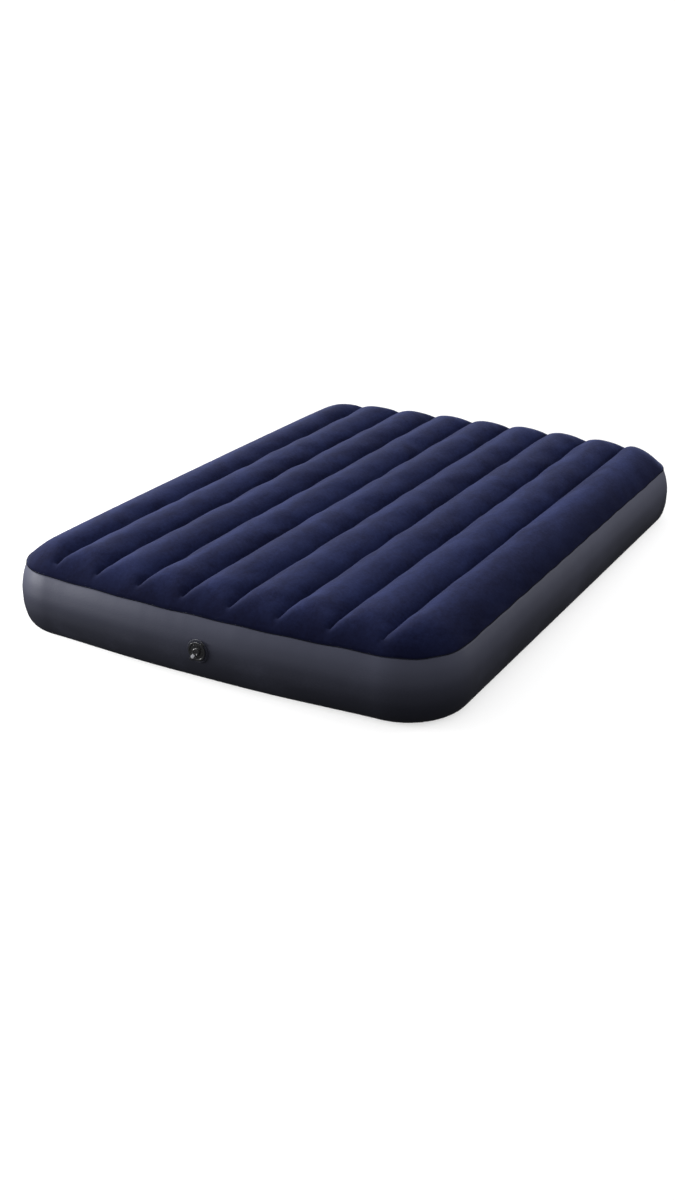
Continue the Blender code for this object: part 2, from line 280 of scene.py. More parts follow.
def velvet_flock():
    """Short navy flock: a soft sheen, a nap lying over in patches, fine fibre speckle, and painted rim shade.
    """
    colours = bpy.context.scene.airbed_finish
    shader = Shader("velvet_flock", Roughness=0.95, Sheen_Weight=0.22, Sheen_Roughness=0.25,
                    Sheen_Tint=(0.40, 0.48, 0.95, 1.0), Specular_IOR_Level=0.05)
    place = shader.place()
    along = shader.place(scale=(1.0, 0.45, 1.0))
    patches = shader.noise(along, 9.0, 4.0, 0.55, 0.8)
    strokes = shader.noise(along, 34.0, 3.0, 0.6, 0.4)
    fibres = shader.noise(place, 900.0, 2.0, 0.7)
    tufts = shader.noise(place, 230.0, 3.0, 0.7)
    grain = shader.noise(place, 95.0, 2.0, 0.6)
    nap = shader.ramp(patches * 0.65 + strokes * 0.35, 0.34, 0.68)
    share = nap * 0.45 + fibres * 0.2 + tufts * 0.5 + grain * 0.6 - 0.355
    pile = shader.mix(share, colours.flock_brushed, colours.flock)
    # painted shade along the rim: near the top weld the flock runs towards half the brushed flock's colour
    painted_rim_shade = shader.add('ShaderNodeAttribute', {"attribute_name": "painted_rim_shade"}, output="Fac")
    flat = tuple(channel * 0.5 for channel in colours.flock_brushed)
    shader.feed(Base_Color=shader.mix(painted_rim_shade * (0.55 + 0.3 * strokes), pile, flat))
    shader.bump(fibres * 0.4 + tufts * 0.4 + grain * 0.5 + strokes * 0.4, 0.4, 0.001)
    return shader.material


def grained_vinyl(name, tone=1.0, painted_shade_lowest=0.23, gloss=0.24):
    """Charcoal film: fine leather grain, a satin gloss that varies, and painted shade towards the floor."""
    colours = bpy.context.scene.airbed_finish
    shader = Shader(name, IOR=1.45, Specular_IOR_Level=gloss)
    place = shader.place()
    height = shader.add('ShaderNodeSeparateXYZ', {}, place, output="Z")
    cloud = shader.noise(place, 5.0, 3.0, 0.5, 0.3)
    grain = shader.add('ShaderNodeTexVoronoi', {"feature": 'SMOOTH_F1'}, Vector=place, Scale=420.0)
    pores = shader.noise(place, 160.0, 4.0, 0.6)
    # painted shade: below the shading height the vinyl's colour darkens towards the floor, where shade falls
    up = shader.ramp(height, 0.0, PAINTED_SHADE_HEIGHT) ** 1.6
    light = tuple(channel * tone for channel in colours.vinyl)
    painted_shade_colour = tuple(channel * painted_shade_lowest for channel in light)
    vinyl_with_painted_shade = shader.mix(up, painted_shade_colour, light)
    worn = tuple(channel * 1.25 for channel in light)
    shader.feed(Base_Color=shader.mix(shader.ramp(cloud * 0.8 + pores * 0.2, 0.45, 0.75) * 0.22, vinyl_with_painted_shade, worn),
                Roughness=0.40 + 0.12 * cloud + 0.06 * pores)
    shader.bump(grain * 0.6 + pores * 0.6, 0.45, 0.0008)
    return shader.material


def moulded_vinyl(name, colour, roughness=0.3, coat=0.0):
    """Moulded valve parts: smooth, with a faint mould texture and paler smears."""
    shader = Shader(name, IOR=1.5, Coat_Weight=coat, Coat_Roughness=0.1)
    place = shader.place()
    texture = shader.noise(place, 700.0, 3.0, 0.6)
    smear = shader.noise(place, 60.0, 2.0, 0.5, 0.5)
    pale = tuple(min(channel * 1.6 + 0.01, 1.0) for channel in colour)
    shader.feed(Base_Color=shader.mix(shader.ramp(smear, 0.5, 0.8) * 0.5, colour, pale),
                Roughness=roughness + 0.15 * smear)
    shader.bump(texture, 0.12, 0.0002)
    return shader.material


def strand_white():
    """White polyester strands."""
    shader = Shader("polyester_strands", Roughness=0.55, Sheen_Weight=0.2)
    place = shader.place(scale=(1.0, 1.0, 0.05))
    streak = shader.noise(place, 800.0, 2.0, 0.5)
    shader.feed(Base_Color=shader.mix(streak, (0.50, 0.50, 0.48), (0.72, 0.72, 0.70)))
    shader.bump(streak, 0.3, 0.0003)
    return shader.material


# ================================================================ the outline and the sheets' form

def end_bow(x):
    """How far an end curves outwards at x."""
    shape = bpy.context.scene.airbed_shape
    straight = HALF_WIDTH - shape.corner_radius
    reach = max(0.0, abs(x) - shape.bow_flat) / (straight - shape.bow_flat)
    return shape.end_bow * (1 - min(reach, 1.0) ** 2) ** 1.5


class Outline:
    """The plan outline at a distance outside the top weld."""

    def __init__(self, outset=0.0):
        shape = bpy.context.scene.airbed_shape
        self.outset = outset
        self.radius = shape.corner_radius + outset
        self.straight_x = HALF_WIDTH - shape.corner_radius
        self.straight_y = HALF_LENGTH - shape.end_bow - shape.corner_radius

    def half_length(self, x):
        """Half the length of the outline at x."""
        past = abs(x) - self.straight_x
        if past <= 0:
            return self.straight_y + self.radius + end_bow(x)
        return self.straight_y + math.sqrt(max(self.radius ** 2 - past ** 2, 0.0))

    def inside(self, x, y):
        """Distance from a point inside the outline to the outline."""
        past_x, past_y = abs(x) - self.straight_x, abs(y) - self.straight_y
        if past_x > 0 and past_y > 0:
            return self.radius - math.hypot(past_x, past_y)
        return min(HALF_WIDTH + self.outset - abs(x), self.half_length(x) - abs(y))

    def point(self, share):
        """A point of the outline and its outward direction, at a share of the way round."""
        corner = self.radius * math.pi / 2
        sides = (2 * self.straight_x, corner, 2 * self.straight_y, corner)
        run = (share % 1.0) * 2 * sum(sides)
        turned = run >= sum(sides)
        run -= sum(sides) if turned else 0.0
        if run < sides[0]:
            x = run - self.straight_x
            place, out = Vector((x, -self.half_length(x), 0)), Vector((0, -1, 0))
        elif run < sides[0] + sides[1]:
            angle = (run - sides[0]) / self.radius
            out = Vector((math.sin(angle), -math.cos(angle), 0))
            place = Vector((self.straight_x, -self.straight_y, 0)) + out * self.radius
        elif run < sides[0] + sides[1] + sides[2]:
            out = Vector((1, 0, 0))
            place = Vector((HALF_WIDTH + self.outset, run - sides[0] - sides[1] - self.straight_y, 0))
        else:
            angle = (run - sides[0] - sides[1] - sides[2]) / self.radius
            out = Vector((math.cos(angle), math.sin(angle), 0))
            place = Vector((self.straight_x, self.straight_y, 0)) + out * self.radius
        return (-place, -out) if turned else (place, out)


def weld_wave(place):
    """The small rise and fall of the top weld along the bed's edge."""
    return 0.0022 * noise.noise(Vector((place.x * 7.0, place.y * 7.0, 0.3))) + \
        0.0009 * math.sin(place.y * 58.0 + place.x * 41.0)


def groove_share(x):
    """0 on the crest of a rib, 1 in a groove."""
    away = min(abs(x - groove) for groove in GROOVE_XS)
    return max(0.0, 1 - away / (PITCH / 2))


def rib_drop(x, y, pinch):
    """How far an air-filled rib falls below its crest, from 0 to 1: an arc whose fullness wavers.

    Towards the ends of the grooves the pinch narrows them to a point.
    """
    share = groove_share(x)
    flank = 2 * round((x - GROOVE_XS[0]) / PITCH) + (x > min(GROOVE_XS, key=lambda groove: abs(x - groove)))
    waver = noise.noise(Vector((flank * 5.3, y * 9.0, 0.0)))
    waver += 0.2 * noise.noise(Vector((flank * 3.1, y * 19.0, 4.0)))
    share += 0.48 * share * (1 - share) * waver
    share = share ** (1 + 4.0 * pinch ** 2)
    radius = 0.079 / (PITCH / 2)
    return (radius - math.sqrt(radius ** 2 - share ** 2)) / (radius - math.sqrt(radius ** 2 - 1))


def top_height(outline, x, y):
    """Height of the top sheet: a rounded rim, with ribs above the level of the grooves."""
    rim_width = bpy.context.scene.airbed_shape.rim_width
    away = max(outline.inside(x, y), 0.0)
    share = min(away / rim_width, 1.0)
    rim = SEAM_Z + (CREST_Z - SEAM_Z) * (1 - (1 - share) ** 2)
    rise = weld_wave(Vector((x, y, 0))) * max(0.0, 1 - away / 0.05)
    end = outline.half_length(x) - abs(y)
    pinch = min(max((0.10 - end) / 0.08, 0.0), 1.0)
    start = CURTAIN_HIGH.y + 0.006
    along = (abs(y) - start) / (outline.half_length(x) - 0.018 - start)
    crease = 0.004 * math.sin(math.pi * min(max(along, 0.0), 1.0))
    return rim + rise - (max(rim - GROOVE_Z, 0.0) + crease) * rib_drop(x, y, pinch)


def columns(rib_steps, edge_steps, outset=0.0):
    """The x of each grid line across the bed, from one side to the other."""
    outer = GROOVE_XS[-1]
    steps = rib_steps * (RIBS - 2)
    inner = [outer * (2 * i / steps - 1) for i in range(steps + 1)]
    quarter = [math.pi / 2 * i / edge_steps for i in range(1, edge_steps + 1)]
    side = [outer + (HALF_WIDTH + outset - outer) * math.sin(t) for t in quarter]
    return [-x for x in reversed(side)] + inner + side


def sheet_grid(xs, rows, outset, height):
    """A grid over the whole plan, its rows gathered towards the ends, raised by a height."""
    outline = Outline(outset)
    bm = bmesh.new()
    bmesh.ops.create_grid(bm, x_segments=len(xs) - 1, y_segments=rows, size=1.0)
    for vert in bm.verts:
        x = xs[round((vert.co.x + 1) / 2 * (len(xs) - 1))]
        share = 0.8 * vert.co.y + 0.2 * math.sin(vert.co.y * math.pi / 2)
        y = outline.half_length(x) * share
        vert.co = Vector((x, y, height(outline, x, y)))
    return bm


# ================================================================ helpers for pieces

def piece_from(bm, name, material, smooth=True, angle=math.radians(50)):
    """A finished bmesh as a piece in the scene."""
    mesh = bpy.data.meshes.new(name)
    bm.to_mesh(mesh)
    bm.free()
    mesh.materials.append(material)
    if smooth:
        mesh.shade_smooth()
        mesh.set_sharp_from_angle(angle=angle)
    piece = bpy.data.objects.new(name, mesh)
    bpy.context.scene.collection.objects.link(piece)
    return piece


def solidify(piece, thickness):
    """Give an open sheet its thickness, inwards."""
    modifier = piece.modifiers.new("film", 'SOLIDIFY')
    modifier.thickness = thickness
    modifier.offset = -1.0
    apply_modifiers(piece)


def apply_modifiers(piece):
    """Make the piece's modified shape its own."""
    bpy.context.view_layer.update()
    graph = bpy.context.evaluated_depsgraph_get()
    mesh = bpy.data.meshes.new_from_object(piece.evaluated_get(graph))
    piece.modifiers.clear()
    piece.data = mesh


def ring_strip(bm, loops):
    """A closed strip of faces through loops of equal length, made by extruding the first."""
    bmesh.ops.create_circle(bm, segments=len(loops[0]), radius=1.0, cap_ends=False)
    verts = list(bm.verts)
    edges = list(bm.edges)
    for vert, place in zip(verts, loops[0]):
        vert.co = place
    for loop in loops[1:]:
        order = {vert: i for i, vert in enumerate(verts)}
        made = bmesh.ops.extrude_edge_only(bm, edges=edges)["geom"]
        following = [None] * len(verts)
        for vert in (part for part in made if isinstance(part, bmesh.types.BMVert)):
            source = next(e.other_vert(vert) for e in vert.link_edges if e.other_vert(vert) in order)
            following[order[source]] = vert
        for vert, place in zip(following, loop):
            vert.co = place
        verts = following
        edges = [part for part in made if isinstance(part, bmesh.types.BMEdge)]
    return bm


def wear(piece, body, slot, *nodes):
    """Hang a piece on its body and let it stand for CAD nodes; the slot is not used."""
    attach(piece, body)
    if nodes:
        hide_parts(*nodes)
    return piece


# ================================================================ pieces

def paint_rim_shade(piece):
    """Note how much painted shade the flock takes at each point: most at the weld, none from 85 mm on."""
    outline = Outline()
    painted_rim_shade = piece.data.attributes.new("painted_rim_shade", 'FLOAT', 'POINT')
    for vert, value in zip(piece.data.vertices, painted_rim_shade.data):
        away = max(outline.inside(vert.co.x, vert.co.y), 0.0)
        value.value = max(0.0, 1 - away / 0.085)


def blow_up(piece, pinned):
    """Cloth under air pressure, held along its welds: the ribs fill and pucker."""
    group = piece.vertex_groups.new(name="welds")
    for index, weight in pinned.items():
        group.add([index], weight, 'REPLACE')
    cloth = piece.modifiers.new("air", 'CLOTH')
    settings = cloth.settings
    settings.vertex_group_mass = group.name
    settings.quality = 4
    settings.mass = 0.3
    settings.tension_stiffness = 40
    settings.compression_stiffness = 40
    settings.shear_stiffness = 15
    settings.bending_stiffness = 6.0
    settings.air_damping = 2.0
    settings.use_pressure = True
    settings.uniform_pressure_force = 2.0
    settings.shrink_min = -0.0005
    settings.shrink_max = -0.0005
    settings.effector_weights.gravity = 0.0
    cloth.collision_settings.use_collision = False
    cloth.point_cache.frame_start = 1
    cloth.point_cache.frame_end = AIR_FRAMES
    scene = bpy.context.scene
    for step in range(1, AIR_FRAMES + 1):
        scene.frame_set(step)
    apply_modifiers(piece)
    scene.frame_set(1)


class AIRBED_OT_top_sheet(bpy.types.Operator):
    """Make the ribbed, flocked top sheet"""

    bl_idname = "airbed.top_sheet"
    bl_label = "Top sheet"

    def execute(self, context):
        """Lay a fine grid over the plan, blow it up between its welds, and thicken it."""
        detail, shape = context.scene.airbed_detail, context.scene.airbed_shape
        bm = sheet_grid(columns(detail.rib_steps, detail.rib_steps), detail.rows, 0.0, top_height)
        outline = Outline()
        pinned = {}
        for vert in bm.verts:
            away = outline.inside(vert.co.x, vert.co.y)
            in_groove = groove_share(vert.co.x) > 0.999 and away > 0.03
            if away < 0.001 or in_groove:
                pinned[vert.index] = 1.0
        piece = piece_from(bm, "flocked_top", velvet_flock())
        rest = [vert.co.copy() for vert in piece.data.vertices]
        blow_up(piece, pinned)
        for vert, start in zip(piece.data.vertices, rest):
            move = vert.co - start
            if move.length > AIR_REACH:
                vert.co = start + move * (AIR_REACH / move.length)
        # painted shade along the rim of the top
        paint_rim_shade(piece)
        solidify(piece, shape.film)
        piece.data.shade_smooth()
        wear(piece, "top_panel", "navy_flock", "flocked_top_sheet")
        return {'FINISHED'}


def wall_profile(share):
    """The side wall at a share of the way down: distance outside the top weld, and height."""
    for (low, out_low, high_low), (top, out_top, high_top) in zip(WALL_STOPS, WALL_STOPS[1:]):
        if share <= top:
            part = (share - low) / (top - low)
            return out_low + (out_top - out_low) * part, SEAM_Z * (high_low + (high_top - high_low) * part)
    return WALL_STOPS[-1][1], 0.0


def smooth_profile(share):
    """The wall's profile with its corners rounded off."""
    reach = 0.06
    samples = [wall_profile(min(max(share + reach * k / 3, 0.0), 1.0)) for k in range(-3, 4)]
    out = sum(sample[0] for sample in samples) / len(samples)
    height = sum(sample[1] for sample in samples) / len(samples)
    edge = min(share, 1 - share) / reach
    if edge < 1:
        exact = wall_profile(share)
        out, height = exact[0] + (out - exact[0]) * edge, exact[1] + (height - exact[1]) * edge
    return out, height


class AIRBED_OT_side_wall(bpy.types.Operator):
    """Make the bulging side wall band"""

    bl_idname = "airbed.side_wall"
    bl_label = "Side wall"

    def execute(self, context):
        """Extrude the outline down the wall's profile, pucker it near the weld, and cut the valve's hole."""
        detail, shape = context.scene.airbed_detail, context.scene.airbed_shape
        base = Outline()
        ring = [base.point(i / detail.wall_steps) for i in range(detail.wall_steps)]
        loops = []
        for row in range(WALL_ROWS + 1):
            out, height = smooth_profile(row / WALL_ROWS)
            loop = []
            for place, away in ring:
                near = math.exp(-(SEAM_Z - height) / 0.02)
                fold = shape.pucker * near * (1 - near) * 3 * noise.noise(place * 38.0)
                lift = weld_wave(place) * max(0.0, 1 - (SEAM_Z - height) / 0.05)
                loop.append(place + away * (out + fold) + Vector((0, 0, height + lift)))
            loops.append(loop)
        bm = ring_strip(bmesh.new(), loops)
        whole = BVHTree.FromBMesh(bm)
        hole = [face for face in bm.faces if (face.calc_center_median() - VALVE).length < 0.024]
        bmesh.ops.delete(bm, geom=hole, context='FACES')
        for vert in bm.verts:
            arm = vert.co - VALVE
            arm.y = 0
            if vert.co.y < 0 and vert.is_boundary and arm.length < 0.03:
                arm.normalize()
                vert.co.x, vert.co.z = VALVE.x + arm.x * HOLE_RADIUS, VALVE.z + arm.z * HOLE_RADIUS
                vert.co.y = whole.ray_cast(Vector((vert.co.x, -2, vert.co.z)), Vector((0, 1, 0)))[0].y
        bmesh.ops.recalc_face_normals(bm, faces=bm.faces)
        piece = piece_from(bm, "side_wall", grained_vinyl("charcoal_vinyl"))
        solidify(piece, shape.film)
        wear(piece, "chamber", "charcoal_vinyl", "side_wall_band")
        1 - SINK / SEAM_Z
        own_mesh(piece)
        return {'FINISHED'}


class AIRBED_OT_top_weld(bpy.types.Operator):
    """Make the thin welded lip between the top sheet and the wall"""

    bl_idname = "airbed.top_weld"
    bl_label = "Top weld"

    def execute(self, context):
        """Sweep a flat lip round the outline."""
        detail, shape = context.scene.airbed_detail, context.scene.airbed_shape
        base = Outline()
        ring = [base.point(i / detail.wall_steps) for i in range(detail.wall_steps)]
        width, half = shape.lip_width, 0.0005
        section = ((-0.0015, half), (width * 0.6, half), (width, half * 0.4), (width, -half * 0.4),
                   (width * 0.6, -half), (-0.0015, -half))
        loops = [[place + away * out + Vector((0, 0, SEAM_Z + rise - 0.35 * max(out, 0) + weld_wave(place)))
                  for place, away in ring] for out, rise in section + section[:1]]
        bm = ring_strip(bmesh.new(), loops)
        bmesh.ops.remove_doubles(bm, verts=bm.verts, dist=0.00001)
        bmesh.ops.recalc_face_normals(bm, faces=bm.faces)
        # painted shade: the lip's vinyl is darkened to a tenth of the wall's, a dark line at the seam
        piece = piece_from(bm, "top_weld_lip", grained_vinyl("weld_vinyl_painted_shade", tone=0.1, painted_shade_lowest=1.0, gloss=0.0))
        wear(piece, "top_panel", "charcoal_vinyl")
        return {'FINISHED'}


def base_height(outline, x, y):
    """Height of the base sheet: flat lands on the floor, lifted in lines below the curtains."""
    away = outline.inside(x, y)
    lap = max(0.0, 1 - away / 0.018)
    share = min(max((away - 0.012) / 0.12, 0.0), 1.0)
    lift = max(groove_share(x) - 0.45, 0.0) / 0.55
    return 0.0009 * lap + (BASE_HIGH.z - 0.0006) * share * lift ** 1.5


class AIRBED_OT_base_sheet(bpy.types.Operator):
    """Make the base sheet the bed stands on"""

    bl_idname = "airbed.base_sheet"
    bl_label = "Base sheet"

    def execute(self, context):
        """Lay a grid over the plan with flat lands between the lines of the curtains."""
        shape = context.scene.airbed_shape
        bm = sheet_grid(columns(8, 8, -0.017), 70, -0.017, base_height)
        bmesh.ops.reverse_faces(bm, faces=bm.faces)
        piece = piece_from(bm, "base", grained_vinyl("base_vinyl", tone=0.8, painted_shade_lowest=1.0))
        solidify(piece, shape.film)
        wear(piece, "chamber", "base_vinyl", "base_sheet")
        return {'FINISHED'}


class AIRBED_OT_curtains(bpy.types.Operator):
    """Make the rows of strands that tie the top to the base"""

    bl_idname = "airbed.curtains"
    bl_label = "Tension curtains"

    def execute(self, context):
        """Stand a thin strand every centimetre along each groove."""
        bm = bmesh.new()
        low, high = CURTAIN_LOW, CURTAIN_HIGH
        for x in GROOVE_XS:
            for number in range(STRANDS_IN_A_ROW):
                y = low.y + (high.y - low.y) * (number + 0.5) / STRANDS_IN_A_ROW
                place = Matrix.Translation((x, y, (low.z + high.z) / 2))
                bmesh.ops.create_cone(bm, cap_ends=True, segments=4, radius1=STRAND_RADIUS,
                                      radius2=STRAND_RADIUS, depth=high.z - low.z, matrix=place)
        piece = piece_from(bm, "tension_strands", strand_white(), smooth=False)
        wear(piece, "chamber", "strand_white", *CURTAINS)
        keep = 1 - SINK / (CURTAIN_HIGH.z - CURTAIN_LOW.z)
        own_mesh(piece)
        return {'FINISHED'}


def repaint(nodes, material):
    """Give CAD nodes a finished material."""
    for name in nodes:
        slots = frame["nodes"][name].data.materials
        slots.clear()
        slots.append(material)


def valve_place():
    """The valve's own frame: +Z out of the wall, +X from its middle towards the roots of the straps."""
    out = Vector((0, -1, 0))
    low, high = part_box("strap_anchor")
    root = (low + high) / 2 - VALVE
    root.y = 0
    root.normalize()
    return Matrix.Translation(VALVE) @ Matrix((root, out.cross(root), out)).transposed().to_4x4()


def turned(name, profile, material, ridges=None):
    """A piece turned about the valve's middle from a profile in millimetres, its corners rounded.

    Ridges are given as inner radius, outer radius, lowest height, count and rise.
    """
    bm = bmesh.new()
    verts = [bm.verts.new((radius / 1000, 0, height / 1000)) for radius, height in profile]
    edges = [bm.edges.new(pair) for pair in zip(verts, verts[1:])]
    if profile[0][0] > 0:
        edges.append(bm.edges.new((verts[-1], verts[0])))
    bmesh.ops.bevel(bm, geom=verts, offset=0.00022, affect='VERTICES', segments=2, profile=0.5, material=-1)
    bmesh.ops.spin(bm, geom=bm.edges[:] + bm.verts[:], cent=(0, 0, 0), axis=(0, 0, 1), angle=math.tau,
                   steps=144, use_merge=True, use_duplicate=False)
    bmesh.ops.remove_doubles(bm, verts=bm.verts, dist=0.000004)
    bmesh.ops.recalc_face_normals(bm, faces=bm.faces)
    if ridges:
        inner, outer, floor, count, rise = ridges
        for vert in bm.verts:
            radius = math.hypot(vert.co.x, vert.co.y) * 1000
            if inner < radius < outer and vert.co.z * 1000 > floor:
                wave = math.cos(count * math.atan2(vert.co.y, vert.co.x))
                vert.co.z += rise / 1000 * max(0.0, wave) ** 0.5
    bmesh.ops.transform(bm, matrix=valve_place(), verts=bm.verts)
    return piece_from(bm, name, material, angle=math.radians(40))


def bent_strip(name, stations, width, thickness, material):
    """A flat strip with rounded edges and ends, swept through stations in the plane of the valve's X and Z.

    A station is x and height in millimetres, and a share of the full width.
    """
    bm = bmesh.new()
    bmesh.ops.create_circle(bm, segments=32, radius=0.5, cap_ends=True)
    for vert in bm.verts:
        angle = math.atan2(vert.co.y, vert.co.x)
        reach = (abs(math.cos(angle)) ** 5 + abs(math.sin(angle)) ** 5) ** -0.2 / 2
        vert.co = Vector((stations[0][0] / 1000, math.cos(angle) * reach * width * stations[0][2],
                          stations[0][1] / 1000 + math.sin(angle) * reach * thickness))
    face = bm.faces[:][0]
    for last, (x, height, share) in zip(stations, stations[1:]):
        made = bmesh.ops.extrude_discrete_faces(bm, faces=[face])["faces"]
        face = made[0]
        bmesh.ops.scale(bm, vec=(1, share / last[2], 1), verts=face.verts)
        bmesh.ops.translate(bm, vec=((x - last[0]) / 1000, 0, (height - last[1]) / 1000), verts=face.verts)
    bmesh.ops.recalc_face_normals(bm, faces=bm.faces)
    bmesh.ops.transform(bm, matrix=valve_place(), verts=bm.verts)
    return piece_from(bm, name, material, angle=math.radians(60))


def tab_stations(start, end, height):
    """Stations of a tab with round ends and a slight upward curl at its free end."""
    stations = []
    for i in range(17):
        share = i / 16
        round_end = max(1 - abs(2 * share - 1) ** 5, 0.02) ** 0.5
        stations.append((start + (end - start) * share, height + 0.5 * (1 - share) ** 2, round_end))
    return stations


def valve_finish(name):
    """One of the valve's materials, made the first time it is asked for."""
    if name not in bpy.data.materials:
        colours = bpy.context.scene.airbed_finish
        finishes = {
            "valve_moulding": (tuple(colours.moulding), 0.35),
            "plug_moulding": (tuple(channel * 0.5 for channel in colours.moulding), 0.25, 0.3),
            # pale tab vinyl, partly a painted highlight
            "pull_tab_vinyl_and_painted_highlight": (tuple(colours.tab), 0.12, 0.8),
            "gasket_rubber": ((0.03, 0.03, 0.032), 0.55),
            "weld_tape": ((0.05, 0.055, 0.09), 0.4),
        }
        moulded_vinyl(name, *finishes[name])
    return bpy.data.materials[name]


def hang_strap(strap, bend, height):
    """Bake a strap's place into its mesh. Its bend, two x of the valve's own frame, and its height are not
    used.
    """
    start, end = (valve_place() @ Vector((x, 0, height)) for x in bend)
    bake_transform(strap)


class AIRBED_OT_valve_seat(bpy.types.Operator):
    """Make the valve's flange and neck"""

    bl_idname = "airbed.valve_seat"
    bl_label = "Valve seat"

    def execute(self, context):
        """Turn the flange, with its two raised rings, and the neck below it."""
        # painted shade: the flange's vinyl is darkened to 0.4 of the wall's, like the wall's painted shade at
        # the valve
        seat = turned("valve_flange", FLANGE_SECTION, grained_vinyl("flange_vinyl_painted_shade", tone=0.4, painted_shade_lowest=1.0))
        wear(seat, "valve", "valve_black", "valve_seat")
        return {'FINISHED'}


class AIRBED_OT_plugs(bpy.types.Operator):
    """Make the two plugs"""

    bl_idname = "airbed.plugs"
    bl_label = "Plugs"

    def execute(self, context):
        """Turn the wide plug, with its fine ridges, and the plug of its bore."""
        grey = valve_finish("plug_moulding")
        wide = turned("wide_plug", WIDE_PLUG_SECTION, grey, ridges=(12.4, 18.8, 5.0, 24, 0.45))
        wear(wide, "large_plug", "plug_grey", "large_plug")
        small = turned("bore_plug", BORE_PLUG_SECTION, grey)
        wear(small, "small_plug", "plug_grey", "small_plug")
        return {'FINISHED'}


class AIRBED_OT_straps(bpy.types.Operator):
    """Make the plugs' pull tabs and straps"""

    bl_idname = "airbed.straps"
    bl_label = "Straps and pull tabs"

    def execute(self, context):
        """Sweep the tabs, then the straps, which run between the parts they join."""
        grey = valve_finish("plug_moulding")
        tab = bent_strip("bore_plug_tab", tab_stations(start=-23.5, end=-10.0, height=9.4), width=0.0085,
                         thickness=0.0014, material=valve_finish("pull_tab_vinyl_and_painted_highlight"))
        wear(tab, "small_plug", "clear_tab", "small_plug_pull_tab")
        tab = bent_strip("wide_plug_tab", tab_stations(start=-33.4, end=-25.0, height=5.6), width=0.0100,
                         thickness=0.0014, material=grey)
        wear(tab, "large_plug", "plug_grey", "large_plug_pull_tab")
        strap = bent_strip("wide_plug_strap", WIDE_PLUG_STRAP, width=0.0100, thickness=0.0010, material=grey)
        hang_strap(strap, bend=(0.0302, 0.0278), height=0.0046)
        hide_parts("large_plug_strap")
        strap = bent_strip("bore_plug_strap", BORE_PLUG_STRAP, width=0.0068, thickness=0.0009, material=grey)
        hang_strap(strap, bend=(0.0152, 0.0128), height=0.0089)
        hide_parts("small_plug_strap")
        return {'FINISHED'}


class AIRBED_OT_seals(bpy.types.Operator):
    """Make the plug's gasket and the check flap"""

    bl_idname = "airbed.seals"
    bl_label = "Seals"

    def execute(self, context):
        """Turn both about the valve's middle, in soft rubber."""
        rubber = valve_finish("gasket_rubber")
        gasket = turned("rim_gasket", GASKET_SECTION, rubber)
        wear(gasket, "large_plug", "soft_rubber", "plug_gasket")
        flap = turned("bore_flap", FLAP_SECTION, rubber)
        wear(flap, "check_flap", "soft_rubber", "check_flap")
        return {'FINISHED'}


class AIRBED_OT_fixings(bpy.types.Operator):
    """Finish the valve's small fixings and the weld strips"""

    bl_idname = "airbed.fixings"
    bl_label = "Fixings and weld strips"

    def execute(self, context):
        """Give each its material."""
        repaint(["strap_anchor", "flap_clip"], valve_finish("valve_moulding"))
        repaint(["small_strap_post"], valve_finish("plug_moulding"))
        repaint(TOP_STRIPS + BASE_STRIPS, valve_finish("weld_tape"))
        return {'FINISHED'}


# ================================================================ studio

def soft_light(name, place, target, size, power, shadow=True):
    """A large soft lamp aimed at a point."""
    data = bpy.data.lights.new(name, 'AREA')
    data.shape = 'RECTANGLE'
    data.size, data.size_y = size
    data.energy = power
    data.use_shadow = shadow
    lamp = bpy.data.objects.new(name, data)
    lamp.location = place
    lamp.rotation_euler = (Vector(target) - Vector(place)).to_track_quat('-Z', 'Y').to_euler()
    bpy.context.scene.collection.objects.link(lamp)


def soft_surround():
    """A white studio all round: soft light from above, hardly any from below, and a white backdrop."""
    world = bpy.data.worlds.new("studio")
    world.use_nodes = True
    studio = Nodes(world.node_tree)
    way = studio.add('ShaderNodeTexCoord', output="Generated")
    height = studio.add('ShaderNodeSeparateXYZ', {}, way, output="Z")
    rise = studio.add('ShaderNodeMapRange', {}, height, -0.25, 0.15, 0.06, 0.52)
    seen = studio.add('ShaderNodeLightPath', output="Is Camera Ray")
    backdrop = studio.tree.nodes["Background"]
    backdrop.inputs["Color"].default_value = (1, 1, 1, 1)
    studio.feed_socket(backdrop.inputs["Strength"],
                       studio.add('ShaderNodeMath', {"operation": 'MAXIMUM'}, rise, seen))
    return world


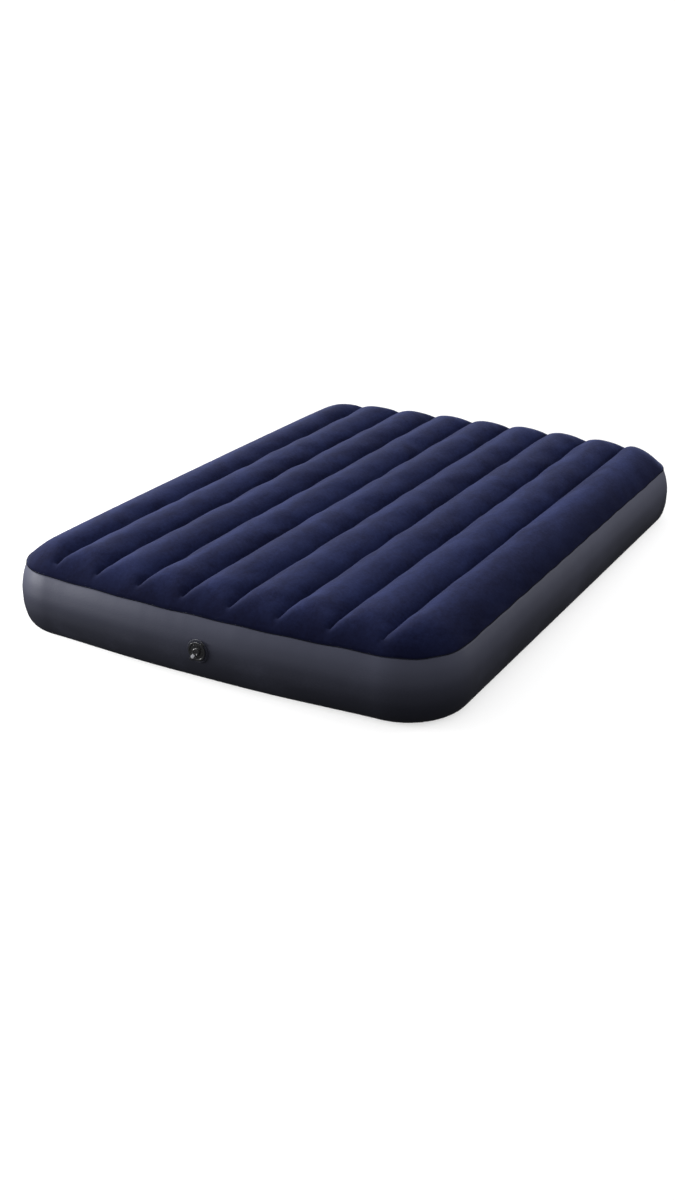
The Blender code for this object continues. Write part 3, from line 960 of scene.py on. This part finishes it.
class AIRBED_OT_stage(bpy.types.Operator):
    """Set up the camera, the lamps and the pale floor"""

    bl_idname = "airbed.stage"
    bl_label = "Stage"

    def execute(self, context):
        """A camera above the foot's right corner, soft lamps, and a floor that runs out of sight."""
        scene = context.scene
        bm = bmesh.new()
        bmesh.ops.create_grid(bm, x_segments=4, y_segments=4, size=400.0)
        bmesh.ops.translate(bm, vec=(0, 0, -0.0008), verts=bm.verts)
        paper = Shader("floor_paper", Roughness=0.9, Specular_IOR_Level=0.1)
        mottle = paper.noise(paper.place(), 1.5)
        paper.feed(Base_Color=paper.mix(mottle, (0.96, 0.96, 0.96), (0.98, 0.98, 0.98)))
        floor = piece_from(bm, "floor", paper.material, smooth=False)
        floor.visible_diffuse = floor.visible_glossy = False

        scene.world = soft_surround()
        scene.view_settings.view_transform = 'Standard'

        sun = bpy.data.lights.new("key", 'SUN')
        sun.energy = 3.5
        sun.angle = math.radians(30)
        sun.use_shadow = False
        key = bpy.data.objects.new("key", sun)
        key.rotation_euler = Vector((0.60, -0.62, -0.46)).to_track_quat('-Z', 'Y').to_euler()
        scene.collection.objects.link(key)
        soft_light("left_fill", (-2.4, -1.8, 0.5), (-0.6, -0.9, 0.1), (1.2, 0.6), 48)
        soft_light("left_top_fill", (-2.3, -0.3, 1.5), (-0.5, -0.2, 0.2), (1.2, 1.2), 17, shadow=False)
        soft_light("far_side_fill", (2.6, 1.9, 0.9), (0.69, 1.0, 0.1), (0.9, 0.7), 16)

        data = bpy.data.cameras.new("camera")
        data.lens = 42.45
        data.sensor_width = 36.0
        camera = bpy.data.objects.new("camera", data)
        azimuth, down, roll = math.radians(29.63), math.radians(23.42), math.radians(-0.2)
        look = Vector((-math.sin(azimuth) * math.cos(down), math.cos(azimuth) * math.cos(down),
                       -math.sin(down)))
        right = Vector((math.cos(azimuth), math.sin(azimuth), 0))
        up = right.cross(look)
        right, up = (right * math.cos(roll) + up * math.sin(roll),
                     up * math.cos(roll) - right * math.sin(roll))
        camera.matrix_world = Matrix.Translation((1.928, -3.605, 1.641)) @ Matrix(
            (right, up, -look)).transposed().to_4x4()
        scene.collection.objects.link(camera)
        scene.camera = camera
        return {'FINISHED'}


class AIRBED_PT_panel(bpy.types.Panel):
    """The airbed's steps, in the sidebar"""

    bl_idname = "AIRBED_PT_panel"
    bl_label = "Airbed"
    bl_space_type = 'VIEW_3D'
    bl_region_type = 'UI'
    bl_category = "Airbed"

    def draw(self, context):
        """List the sizes, then the steps in order."""
        for group in (context.scene.airbed_shape, context.scene.airbed_finish, context.scene.airbed_detail):
            for name in group.bl_rna.properties.keys():
                if name not in ("rna_type", "name"):
                    self.layout.prop(group, name)
        for operator in STEPS:
            self.layout.operator(operator.bl_idname)


STEPS = (AIRBED_OT_stage, AIRBED_OT_top_sheet, AIRBED_OT_side_wall, AIRBED_OT_top_weld, AIRBED_OT_base_sheet,
         AIRBED_OT_curtains, AIRBED_OT_valve_seat, AIRBED_OT_plugs, AIRBED_OT_straps, AIRBED_OT_seals,
         AIRBED_OT_fixings)
GROUPS = {"airbed_shape": AirbedShape, "airbed_finish": AirbedFinish, "airbed_detail": AirbedDetail}


def register():
    """Register the groups, the steps and the panel."""
    for kind in (*GROUPS.values(), *STEPS, AIRBED_PT_panel):
        bpy.utils.register_class(kind)
    for name, kind in GROUPS.items():
        setattr(bpy.types.Scene, name, PointerProperty(type=kind))


def unregister():
    """Take them out again."""
    for name in GROUPS:
        delattr(bpy.types.Scene, name)
    for kind in reversed((*GROUPS.values(), *STEPS, AIRBED_PT_panel)):
        bpy.utils.unregister_class(kind)


def main():
    """Make everything in order."""
    register()
    for operator in STEPS:
        family, _, step = operator.bl_idname.partition(".")
        getattr(getattr(bpy.ops, family), step)()


if __name__ == "__main__":
    main()
